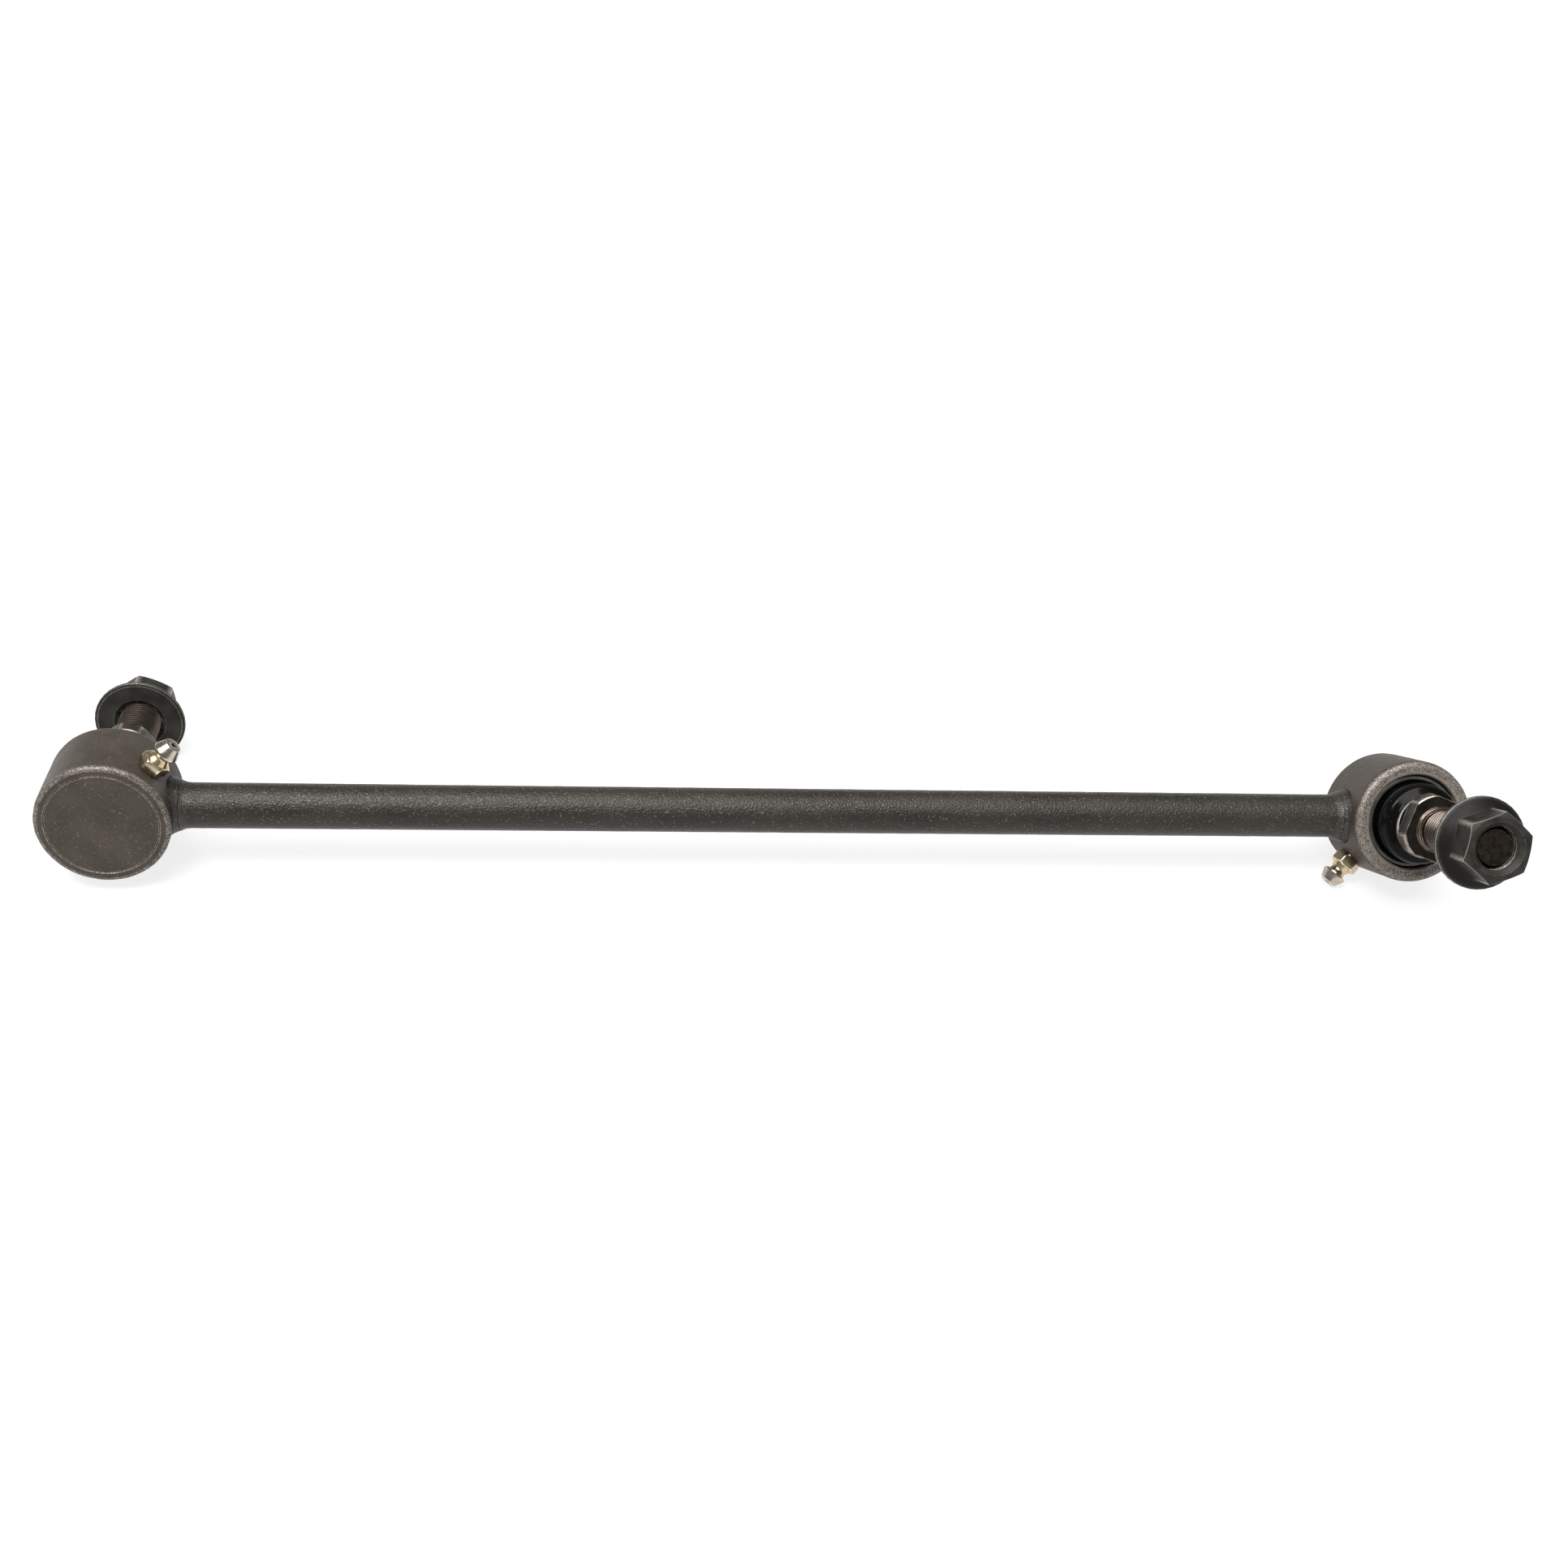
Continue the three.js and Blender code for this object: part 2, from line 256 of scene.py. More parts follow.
def polygon(flats, sides, turn, rounding=0.35):
    """Angles and radii round a polygon with rounded corners. The first corner is at the angle turn."""
    apothem = flats / 2
    half = math.pi / sides
    arc = rounding * math.tan(half)                 # half the length of flat that a corner takes
    reach = apothem * math.tan(half) - arc
    points_on_flat = 7
    points = []
    for i in range(sides):
        middle = turn + (2 * i + 1) * half
        normal = np.array([math.cos(middle), math.sin(middle)])
        tangent = np.array([-normal[1], normal[0]])
        for k in np.linspace(-1, 1, points_on_flat):
            points.append(normal * apothem + tangent * reach * k)
        corner = middle + half
        centre = np.array([math.cos(corner), math.sin(corner)]) * (apothem - rounding) / math.cos(half)
        for k in (-0.5, 0, 0.5):
            angle = corner + k * half
            points.append(centre + rounding * np.array([math.cos(angle), math.sin(angle)]))
    points = np.array(points)
    angles = np.unwrap(np.arctan2(points[:, 1], points[:, 0]))
    radii = np.hypot(points[:, 0], points[:, 1])
    angles = np.append(angles, angles[0] + 2 * math.pi)
    return angles, np.append(radii, radii[0])


# ---- Meshes ----------------------------------------------------------------------------------
class Skin:
    """A surface round an axis, as rows of points. Each column has its own angle."""

    def __init__(self, angles):
        self.angles = np.array(angles, float)
        self.rows = []
        self.paints = []
        self.paint = 0

    # The last value of a row is painted shade: it darkens the colour in crevices, grooves and on faces that
    # the photo shows in shade.
    def row(self, radius, height, wear=0.0, painted_shade=0.0):
        full = np.ones_like(self.angles)
        self.rows.append(np.stack([radius * full, height * full, wear * full, painted_shade * full]))
        self.paints.append(self.paint * np.ones(len(self.angles), int))

    def profile(self, points, painted_shade=0.0):
        for radius, height, wear in points:
            self.row(radius, height, wear, painted_shade)

    def thread(self, start, end, crest, depth):
        """A helical thread between two heights, fading in and out over part of a turn.
        A depth below zero cuts it outwards, as in a nut."""
        pitch = THREAD_PITCH
        fading_turns = 0.8
        # Places along one pitch, each with its share of the way from the groove to the crest.
        shape = [(0.0, 1.0), (0.16, 1.0), (0.46, 0.1), (0.5, 0.0), (0.62, 0.0), (0.66, 0.1), (0.96, 1.0)]
        angle = (self.angles - self.angles[0]) / (2 * math.pi)
        count = int((end - start) / pitch) + 2
        for turn in range(-1, count):
            for place, share in shape:
                raw = start + pitch * (turn + place + angle)
                height = np.clip(raw, start, end)
                fade = np.minimum(height - start, end - height) / (fading_turns * pitch)
                fade = np.clip(fade, 0, 1)
                level = 1 - (1 - share) * fade if depth < 0 else share * fade
                radius = crest - abs(depth) * (1 - level) if depth > 0 else crest + abs(depth) * (1 - level)
                # The last value is painted shade that darkens the grooves; the one before marks the crests
                # worn.
                self.row(radius, height, 0.7 * share ** 6, 1.3 * (1 - share))

    def mesh(self, name, closed=False, rough=None):
        """The mesh, in metres. rough is (height, size, seed) of an uneven surface, in millimetres."""
        rows = np.array(self.rows + (self.rows[:1] if closed else []))
        paints = np.array(self.paints + (self.paints[:1] if closed else []))
        radius, height, wear, painted_shade = rows.transpose(1, 0, 2)
        x, y = radius * np.cos(self.angles), radius * np.sin(self.angles)
        bm = bmesh.new()
        wears = bm.verts.layers.float.new("wear")
        painted_shade_layer = bm.verts.layers.float.new("painted_shade")
        grid = []
        for i in range(rows.shape[0]):
            line = []
            for j in range(rows.shape[2]):
                vertex = bm.verts.new((x[i, j], y[i, j], height[i, j]))
                vertex[wears] = wear[i, j]
                vertex[painted_shade_layer] = painted_shade[i, j]
                line.append(vertex)
            grid.append(line)
        for i in range(len(grid) - 1):
            for j in range(len(self.angles) - 1):
                face = bm.faces.new((grid[i][j], grid[i][j + 1], grid[i + 1][j + 1], grid[i + 1][j]))
                face.material_index = int(paints[i + 1, j])
        return finish(bm, name, rough)


def finish(bm, name, rough=None):
    """Merges the points that lie together and turns a bmesh in millimetres into a smooth mesh."""
    bmesh.ops.remove_doubles(bm, verts=bm.verts, dist=2e-4)
    bmesh.ops.dissolve_degenerate(bm, edges=bm.edges, dist=1e-4)
    bmesh.ops.recalc_face_normals(bm, faces=bm.faces)
    if rough:
        bm.normal_update()
        height, size, seed = rough
        offset = Vector((seed * 13.7, seed * 5.1, seed * 9.3))
        for vertex in bm.verts:
            swell = noise.fractal(vertex.co / size + offset, 0.6, 2.0, 3)
            vertex.co += vertex.normal * swell * height
    bmesh.ops.scale(bm, vec=(MM, MM, MM), verts=bm.verts)
    mesh = bpy.data.meshes.new(name)
    bm.to_mesh(mesh)
    bm.free()
    mesh.polygons.foreach_set("use_smooth", [True] * len(mesh.polygons))
    mesh.set_sharp_from_angle(angle=math.radians(SMOOTH_BELOW))
    return mesh


def tube(name, rings, closed):
    """A skin over rings of points in millimetres. A closed one joins its last ring to its first."""
    bm = bmesh.new()
    for layer in ("wear", "painted_shade"):
        bm.verts.layers.float.new(layer)
    rings = [[bm.verts.new(point) for point in ring] for ring in rings]
    ends = rings[1:] + (rings[:1] if closed else [])
    for near, far in zip(rings, ends):
        for k in range(len(near)):
            following = (k + 1) % len(near)
            bm.faces.new((near[k], far[k], far[following], near[following]))
    if not closed:
        bm.faces.new(rings[0])
        bm.faces.new(rings[-1][::-1])
    return finish(bm, name)


def piece(name, mesh, place, body, slot, materials, *nodes):
    """Puts a mesh in the scene, in its frame, riding on a body and standing for CAD nodes."""
    obj = bpy.data.objects.new(name, mesh)
    bpy.context.scene.collection.objects.link(obj)
    obj.matrix_world = place
    for material in materials:
        mesh.materials.append(material)
    if body:
        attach(obj, body)
    if nodes:
        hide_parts(*nodes)
    return obj


# ---- Materials -------------------------------------------------------------------------------
class Shade:
    """A material's nodes round one Principled shader. Sizes are in millimetres."""

    def __init__(self, name):
        self.material = bpy.data.materials.new(name)
        self.material.use_nodes = True
        self.tree = self.material.node_tree
        self.tree.nodes.clear()
        self.shader = self.tree.nodes.new("ShaderNodeBsdfPrincipled")
        output = self.tree.nodes.new("ShaderNodeOutputMaterial")
        self.tree.links.new(self.shader.outputs[0], output.inputs[0])
        self.place = self.tree.nodes.new("ShaderNodeTexCoord").outputs["Object"]

    def put(self, socket, value):
        if isinstance(value, bpy.types.NodeSocket):
            self.tree.links.new(value, socket)
        else:
            socket.default_value = value

    def noise(self, size, detail=2.0, stretch=None):
        node = self.tree.nodes.new("ShaderNodeTexNoise")
        node.inputs["Scale"].default_value = 1 / (size * MM)
        node.inputs["Detail"].default_value = detail
        place = self.place
        if stretch:
            mapping = self.tree.nodes.new("ShaderNodeMapping")
            mapping.inputs["Scale"].default_value = stretch
            self.tree.links.new(place, mapping.inputs["Vector"])
            place = mapping.outputs[0]
        self.tree.links.new(place, node.inputs["Vector"])
        return node.outputs["Fac"]

    def ramp(self, value, low, high, to_low=0.0, to_high=1.0):
        node = self.tree.nodes.new("ShaderNodeMapRange")
        for socket, number in zip(node.inputs[1:5], (low, high, to_low, to_high)):
            socket.default_value = number
        self.put(node.inputs[0], value)
        return node.outputs[0]

    def math(self, operation, a, b):
        node = self.tree.nodes.new("ShaderNodeMath")
        node.operation = operation
        self.put(node.inputs[0], a)
        self.put(node.inputs[1], b)
        return node.outputs[0]

    def mix(self, factor, a, b):
        node = self.tree.nodes.new("ShaderNodeMix")
        node.data_type = "RGBA"
        self.put(node.inputs[0], factor)
        self.put(node.inputs[6], a)
        self.put(node.inputs[7], b)
        return node.outputs[2]

    def attribute(self, name):
        node = self.tree.nodes.new("ShaderNodeAttribute")
        node.attribute_name = name
        return node.outputs["Fac"]

    def bump(self, height, depth):
        node = self.tree.nodes.new("ShaderNodeBump")
        node.inputs["Distance"].default_value = depth * MM
        self.put(node.inputs["Height"], height)
        self.put(self.shader.inputs["Normal"], node.outputs[0])

    def finish(self, color, roughness, metallic):
        self.put(self.shader.inputs["Base Color"], color)
        self.put(self.shader.inputs["Roughness"], roughness)
        self.put(self.shader.inputs["Metallic"], metallic)
        return self.material


def colour(r, g, b):
    return (r, g, b, 1)


def coated(name, base, tint, fleck, worn, roughness=0.48, metal=0.25, grain=0.3, depth=0.05,
           flecks=0.66, patch=9.0, streak=None, gloss=0.25):
    """A thin dark coating on steel: cloudy colour, fine grain that glints, flecks, bright worn edges, painted
    shade.
    """
    s = Shade(name)
    cloud = s.noise(patch, 4, streak)
    fine = s.noise(grain, 2)
    speck = s.noise(grain * 1.35, 1)
    blotch = s.noise(1.0, 3)
    body = s.mix(s.ramp(cloud, 0.35, 0.65), base, tint)
    body = s.mix(s.ramp(speck, flecks, flecks + 0.08, 0, 0.75), body, fleck)
    rub = s.math("ADD", s.attribute("wear"), s.ramp(blotch, 0.3, 0.7, -0.12, 0.08))
    rub = s.math("ADD", rub, s.ramp(fine, 0.35, 0.65, -0.26, 0.18))
    rub = s.ramp(rub, 0.3, 0.9)
    body = s.mix(rub, body, worn)
    # Painted shade: near black wherever the mesh's per-point shade value marks a crevice, groove or shaded
    # face.
    shade_mask = s.ramp(s.attribute("painted_shade"), 0.1, 0.9)
    body = s.mix(shade_mask, body, colour(0.008, 0.007, 0.006))
    rough = s.math("ADD", s.ramp(cloud, 0.3, 0.7, roughness - 0.05, roughness + 0.07),
                   s.ramp(rub, 0, 1, 0, -0.14))
    s.bump(s.math("ADD", fine, s.ramp(speck, 0.3, 0.7, 0, 0.6)), depth)
    s.shader.inputs["Specular IOR Level"].default_value = gloss
    return s.finish(body, rough, s.ramp(rub, 0, 1, metal, 0.65))


def bare_steel(name, base, tint, worn, roughness=0.34, metal=0.9, patch=3.0, depth=0.02,
               smear=0.3, gloss=0.5):
    """Oiled steel with brown and grey smears, and painted shade where the mesh marks it."""
    s = Shade(name)
    cloud = s.noise(patch, 5)
    fine = s.noise(0.25, 3)
    body = s.mix(s.ramp(cloud, 0.38, 0.62), base, tint)
    rub = s.math("ADD", s.attribute("wear"), s.ramp(cloud, 0.3, 0.7, -smear, smear))
    rub = s.ramp(rub, 0.3, 0.85)
    body = s.mix(rub, body, worn)
    # Painted shade: near black wherever the mesh's per-point shade value marks a crevice, groove or shaded
    # face.
    shade_mask = s.ramp(s.attribute("painted_shade"), 0.1, 0.95)
    body = s.mix(shade_mask, body, colour(0.012, 0.010, 0.008))
    rough = s.math("ADD", s.ramp(fine, 0.3, 0.7, roughness - 0.06, roughness + 0.1),
                   s.ramp(rub, 0, 1, 0, -0.1))
    s.bump(fine, depth)
    s.shader.inputs["Specular IOR Level"].default_value = gloss
    return s.finish(body, rough, metal)


def rubber():
    s = Shade("boot_rubber")
    cloud = s.noise(5.0, 3)
    fine = s.noise(0.6, 3)
    dust = s.ramp(s.noise(0.5, 1), 0.74, 0.8, 0, 0.5)
    body = s.mix(s.ramp(cloud, 0.3, 0.7), colour(0.0012, 0.0012, 0.0012), colour(0.003, 0.003, 0.0028))
    body = s.mix(dust, body, colour(0.12, 0.12, 0.12))
    s.bump(fine, 0.012)
    s.shader.inputs["Specular IOR Level"].default_value = 0.1
    return s.finish(body, s.ramp(cloud, 0.3, 0.7, 0.1, 0.17), 0.0)


def plated(name, base, tint, worn):
    """Bright zinc over a turned surface, with painted shade where the mesh marks it."""
    s = Shade(name)
    cloud = s.noise(1.6, 4)
    turned = s.noise(0.12, 2, (1, 1, 6))
    body = s.mix(s.ramp(cloud, 0.35, 0.65), base, tint)
    rub = s.ramp(s.math("ADD", s.attribute("wear"), s.ramp(cloud, 0.3, 0.7, -0.4, 0.3)), 0.25, 0.8)
    body = s.mix(rub, body, worn)
    # Painted shade: dark brown wherever the mesh's per-point shade value marks a crevice or the bore.
    shade_mask = s.ramp(s.attribute("painted_shade"), 0.1, 0.95)
    body = s.mix(shade_mask, body, colour(0.03, 0.02, 0.01))
    s.bump(turned, 0.006)
    return s.finish(body, s.ramp(cloud, 0.3, 0.7, 0.14, 0.27), 1.0)


def sintered():
    s = Shade("sintered_iron")
    pores = s.noise(0.35, 2)
    body = s.mix(s.ramp(pores, 0.42, 0.6), colour(0.10, 0.07, 0.045), colour(0.26, 0.2, 0.13))
    s.bump(s.ramp(pores, 0.35, 0.5), 0.04)
    return s.finish(body, s.ramp(pores, 0.3, 0.7, 0.7, 0.5), 0.7)


COATING = coated("housing_coating", colour(0.044, 0.036, 0.028), colour(0.062, 0.051, 0.041),
                 colour(0.17, 0.15, 0.13), colour(0.37, 0.325, 0.29), grain=0.34, depth=0.07)
ROD_COATING = coated("rod_coating", colour(0.0205, 0.0175, 0.0132), colour(0.031, 0.0265, 0.0205),
                     colour(0.14, 0.13, 0.115), colour(0.30, 0.27, 0.24), grain=0.42, depth=0.16,
                     roughness=0.36, flecks=0.65, streak=(1, 1, 0.3), gloss=0.32)
WELD_COATING = coated("weld_coating", colour(0.024, 0.021, 0.018), colour(0.038, 0.033, 0.028),
                      colour(0.14, 0.13, 0.115), colour(0.28, 0.26, 0.24), roughness=0.38, grain=0.4,
                      depth=0.12, flecks=0.64, patch=2.5, gloss=0.35)
NUT_BLACK = coated("nut_black", colour(0.017, 0.016, 0.013), colour(0.032, 0.030, 0.0255),
                   colour(0.07, 0.066, 0.06), colour(0.29, 0.262, 0.235), roughness=0.42, metal=0.1,
                   grain=0.22, depth=0.015, flecks=0.74, patch=4.0, gloss=0.12)
STUD_FLATS = bare_steel("stud_flats", colour(0.040, 0.040, 0.034), colour(0.066, 0.066, 0.057),
                        colour(0.40, 0.37, 0.34), 0.36)
STUD_BROWN = bare_steel("stud_brown", colour(0.06, 0.043, 0.033), colour(0.11, 0.085, 0.068),
                        colour(0.30, 0.25, 0.21), 0.35)
STUD_DARK = bare_steel("stud_dark", colour(0.006, 0.005, 0.004), colour(0.016, 0.012, 0.009),
                       colour(0.34, 0.27, 0.22), 0.4, 0.3, gloss=0.2)
STUD_THREAD = bare_steel("stud_thread", colour(0.038, 0.029, 0.023), colour(0.062, 0.048, 0.038),
                         colour(0.19, 0.152, 0.125), 0.34, patch=2.0, smear=0.05)
STUD_ROOT = bare_steel("stud_root", colour(0.035, 0.026, 0.020), colour(0.08, 0.06, 0.046),
                       colour(0.22, 0.165, 0.13), 0.3, patch=1.6)
STUD_END = bare_steel("stud_end", colour(0.0045, 0.0035, 0.0025), colour(0.015, 0.0105, 0.007),
                      colour(0.06, 0.042, 0.03), 0.5, 0.2, 1.2, depth=0.12, gloss=0.15)
POLISHED = bare_steel("polished_steel", colour(0.5, 0.5, 0.5), colour(0.6, 0.6, 0.6),
                      colour(0.8, 0.8, 0.8), 0.12, 1.0, depth=0.002)
SPRING = bare_steel("spring_steel", colour(0.16, 0.15, 0.135), colour(0.25, 0.235, 0.21),
                    colour(0.5, 0.48, 0.45), 0.3)
RUBBER = rubber()
YELLOW_ZINC = plated("yellow_zinc", colour(0.55, 0.43, 0.26), colour(0.62, 0.52, 0.35),
                     colour(0.85, 0.76, 0.6))
SILVER_ZINC = plated("silver_zinc", colour(0.42, 0.365, 0.295), colour(0.53, 0.48, 0.415),
                     colour(0.88, 0.82, 0.72))
IRON = sintered()


# ---- Pieces ----------------------------------------------------------------------------------
def rod():
    low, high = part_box("link_rod")
    middle = (low + high) / 2
    half = (high.x - low.x) / 2 / MM
    skin = Skin(circle(ROD_COLUMNS))
    skin.profile(outline([(0, -half, 0, 0), (ROD_R, -half, 0.4, 0), (ROD_R, half, 0.4, 0),
                          (0, half, 0, 0)], step=1.6))
    mesh = skin.mesh("rod_bar", rough=(0.035, 4.0, 1))
    place = axes(Vector((0, 0, -1)), Vector((1, 0, 0)), middle)
    return piece("rod_bar", mesh, place, "link", "dark_rod", [ROD_COATING], "link_rod")


def housing(side, place, seed):
    lip = COVER_R + LIP_GAP
    skin = Skin(circle(HOUSING_COLUMNS))
    skin.profile(outline([
        (lip, BASE_T + 1.6, 0, 0), (lip, BASE_T + 0.02, 0.22, 0.6), (HOUSING_R, BASE_T, BASE_ROUND, 0.5),
        (HOUSING_R, RIM_T, RIM_ROUND, 0.0), (MOUTH_R, RIM_T, 0.9, 0.72), (MOUTH_R, POCKET_T, 0.3, 0),
        (POCKET_FLOOR_R, POCKET_T, 0.2, 0), (THROAT_R, SHOULDER_T, 0.2, 0), (BORE_R, SHOULDER_T, 0.2, 0),
        (BORE_R, PLATE_SEAT_T, 0.2, 0), (lip, PLATE_SEAT_T, 0, 0), (lip, BASE_T + 1.6, 0, 0),
    ], step=0.9))
    for row in skin.rows:
        if row[0][0] > MOUTH_R:
            near_rim = np.clip((row[1] - RIM_T + 2.2) / 1.6, 0, 1)
            near_mouth = np.clip((MOUTH_R + 1.3 - row[0]) / 1.0, 0, 1)
            row[2] = np.maximum(row[2], near_rim * (0.58 + 0.4 * near_mouth))
    mesh = skin.mesh(f"{side}_housing_forging", rough=(0.06, 5.0, seed))
    return piece(f"{side}_housing_forging", mesh, place, "link", "coated_steel", [COATING],
                 f"{side}_housing")


def saddle(side, place, seed):
    """The upset end of the rod's stub, which follows the housing's round wall."""
    skin = Skin(circle(ROUND_COLUMNS))
    across = np.cos(skin.angles)
    drop = FLARE_R - FLARE_RING_R
    # The third number of each row is painted shade: dark in the crevice against the housing, faint at the
    # ring line and inside.
    for radius, share, painted_shade in ((FLARE_R - 0.9, -0.6, 1), (FLARE_R, -0.08, 1), (FLARE_R - 0.03, 0.08, 0.9),
                                 (FLARE_R - 0.3 * drop, 0.25, 0.15), (FLARE_R - 0.56 * drop, 0.45, 0),
                                 (FLARE_R - 0.77 * drop, 0.65, 0), (FLARE_R - 0.92 * drop, 0.85, 0),
                                 (FLARE_RING_R, 0.97, 0), (FLARE_RING_R - 0.12, 1.0, 0.2),
                                 (ROD_R - 1, 1.0, 0.3)):
        wall = np.sqrt(HOUSING_R ** 2 - (radius * across) ** 2)
        height = wall + (SADDLE_END - wall) * share
        skin.row(radius, height, 0.15 if 0.2 < share < 0.9 else 0, painted_shade)
    mesh = skin.mesh(f"{side}_stub_saddle", rough=(0.1, 1.1, seed))
    return piece(f"{side}_stub_saddle", mesh, place @ ALONG_ROD, "link", "coated_steel", [WELD_COATING])


def weld(side, place, seed):
    """The weld's flare: a fine ring line beside the stub, then a hollow curve down to the rod."""
    skin = Skin(circle(ROUND_COLUMNS))
    start = SADDLE_END + 0.04
    # The last number is painted shade, faint, in the ring line where the flare meets the stub.
    skin.row(ROD_R - 0.2, start, 0, 0.3)
    skin.row(FLARE_RING_R - 0.15, start, 0, 0.1)
    length = FLARE_END - start - 0.08
    steps = 14
    for k in range(steps + 1):
        share = k / steps
        radius = ROD_R + 0.02 + (FLARE_RING_R - 0.06 - ROD_R) * (1 - share) ** 2
        ripple = 0.045 * math.sin(share * 22) * (1 - share)
        skin.row(radius + ripple, start + 0.08 + length * share, 0.3 * (1 - share), 0)
    skin.row(ROD_R - 0.2, FLARE_END + 0.1, 0, 0)
    mesh = skin.mesh(f"{side}_weld_flare", closed=True, rough=(0.07, 1.2, seed))
    return piece(f"{side}_weld_flare", mesh, place @ ALONG_ROD, "link", "weld", [WELD_COATING],
                 f"{side}_weld_bead")


def cover(side, place, seed):
    skin = Skin(circle(ROUND_COLUMNS))
    face = BASE_T + 0.08
    skin.profile(outline([
        (0, face + 0.1, 0, 0), (COVER_R - 1.2, face + 0.06, 0.8, 0), (COVER_R, face, 0.22, 0.55),
        (COVER_R, face + COVER_THICK, 0.2, 0), (0, face + COVER_THICK, 0, 0),
    ], step=0.9))
    mesh = skin.mesh(f"{side}_cover_disc", rough=(0.03, 5.0, seed))
    return piece(f"{side}_cover_disc", mesh, place, "link", "coated_steel", [COATING],
                 f"{side}_cover_plate")


def inner_ring(side, name, corners, place, slot, material, node):
    skin = Skin(circle(RING_COLUMNS))
    skin.profile(outline(corners))
    mesh = skin.mesh(f"{side}_{name}", closed=True)
    return piece(f"{side}_{name}", mesh, place, "link", slot, [material], node)


def bearings(side, place):
    for name, (low, high) in (("lower_bearing", LOWER_BEARING), ("upper_bearing", UPPER_BEARING)):
        seat_r = BALL_R + BEARING_GAP
        seat = [(math.sqrt(seat_r ** 2 - t * t), t, 0, 0) for t in np.linspace(high, low, 12)]
        outer = BORE_R - BEARING_GAP
        inner_ring(side, f"{name}_ring", [(outer, (low + high) / 2, 0, 0), (outer, high, 0.4, 0)] + seat
                   + [(outer, low, 0.4, 0), (outer, (low + high) / 2, 0, 0)],
                   place, "sintered_iron", IRON, f"{side}_{name}")


def springs(side, place):
    seat = BASE_T + COVER_THICK + BEARING_GAP
    inner_ring(side, "preload_washer",
               [(10.5, seat + 0.9, 0, 0), (WASHER_OUT_R, seat + 0.5, 0.2, 0), (WASHER_OUT_R, seat, 0.2, 0),
                (WASHER_IN_R, seat + 1.0, 0.2, 0), (WASHER_IN_R, seat + 1.7, 0.2, 0),
                (10.5, seat + 0.9, 0, 0)],
               place, "spring_steel", SPRING, f"{side}_preload_spring")
    inside, outside = SEAT_RING_R
    low, high = SEAT_RING_T
    middle = (inside + outside) / 2
    inner_ring(side, "seat_ring",
               [(middle, low, 0, 0), (outside, low, 0.3, 0), (outside, high, 0.3, 0),
                (inside, high, 0.3, 0), (inside, low, 0.3, 0), (middle, low, 0, 0)],
               place, "spring_steel", SPRING, f"{side}_boot_seat_ring")


def neck_ring(side, place):
    """A garter spring: a torus with the fine turns of its coil."""
    columns, sides = 480, 8
    rings = []
    for i in range(columns):
        angle = 2 * math.pi * i / columns
        wire = GARTER_WIRE + 0.08 * abs(math.cos(GARTER_TURNS * angle))
        out = Vector((math.cos(angle), math.sin(angle), 0))
        rings.append([out * (GARTER_R + wire * math.cos(a)) + Vector((0, 0, GARTER_T + wire * math.sin(a)))
                      for a in (2 * math.pi * k / sides for k in range(sides))])
    mesh = tube(f"{side}_garter_spring", rings, closed=True)
    return piece(f"{side}_garter_spring", mesh, place, f"{side}_boot_lip", "spring_steel", [SPRING],
                 f"{side}_boot_neck_ring")


def lean_over(mesh, upright, leant):
    """Turns the mesh's upper points about the ball's centre, as far as the stud leans."""
    turn = (upright.inverted() @ leant).to_quaternion()
    for vertex in mesh.vertices:
        share = (vertex.co.z / MM - BOOT_STRAIGHT_T) / (BOOT_LEANT_T - BOOT_STRAIGHT_T)
        share = max(0.0, min(1.0, share))
        share = share * share * (3 - 2 * share)
        vertex.co = turn.slerp(turn.__class__(), 1 - share) @ vertex.co


def boot(side, place, leant):
    """Two halves that meet at a moulded ridge, both leant over as far as the stud leans."""
    inner = CREASE_R - BOOT_WALL
    skirt_in, skirt_out = SKIRT_R
    flange_low, flange_top = BOOT_FLANGE_T
    lower = [(inner, CREASE_T, 0, 0), (11.3, 14.4, 1.5, 0), (skirt_in, 12.6, 1.0, 0),
             (skirt_in, flange_low, 0.2, 0), (BOOT_FLANGE_R, flange_low, 0.3, 0),
             (BOOT_FLANGE_R, flange_top, 0.3, 0), (skirt_out, flange_top, 0.3, 0),
             (skirt_out, 12.4, 1.5, 0), (12.1, 14.0, 1.5, 0), (12.2, 16.2, 0.3, 0),
             (CREASE_R, CREASE_T, 0, 0), (inner, CREASE_T, 0, 0)]
    upper = [(CREASE_R, CREASE_T, 0, 0), (12.1, 17.3, 0.5, 0), (11.5, 18.7, 1.4, 0), (9.2, 19.7, 0.9, 0),
             (8.4, 20.6, 0.5, 0), (8.5, 22.2, 0.6, 0), (9.1, LIP_TOP_T, 0.4, 0),
             (LIP_IN_R, LIP_TOP_T, 0.3, 0), (LIP_IN_R, 19.7, 0.8, 0), (10.4, 18.4, 1.0, 0),
             (11.2, 17.4, 0.3, 0), (inner, CREASE_T, 0, 0), (CREASE_R, CREASE_T, 0, 0)]
    cup, lip = f"{side}_boot_cup", f"{side}_boot_lip"
    for name, corners, a, b, start, end in (
            ("boot_skirt", lower, "link", cup, SKIRT_BEND_T, CREASE_T - CREASE_ROOM),
            ("boot_crown", upper, cup, lip, CREASE_T + CREASE_ROOM, CROWN_BENT_T)):
        skin = Skin(circle(ROUND_COLUMNS))
        skin.profile(outline(corners, step=0.5))
        mesh = skin.mesh(f"{side}_{name}")
        lean_over(mesh, place, leant)
        obj = piece(f"{side}_{name}", mesh, place, None, "boot_rubber", [RUBBER], f"{side}_boot")
        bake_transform(obj)


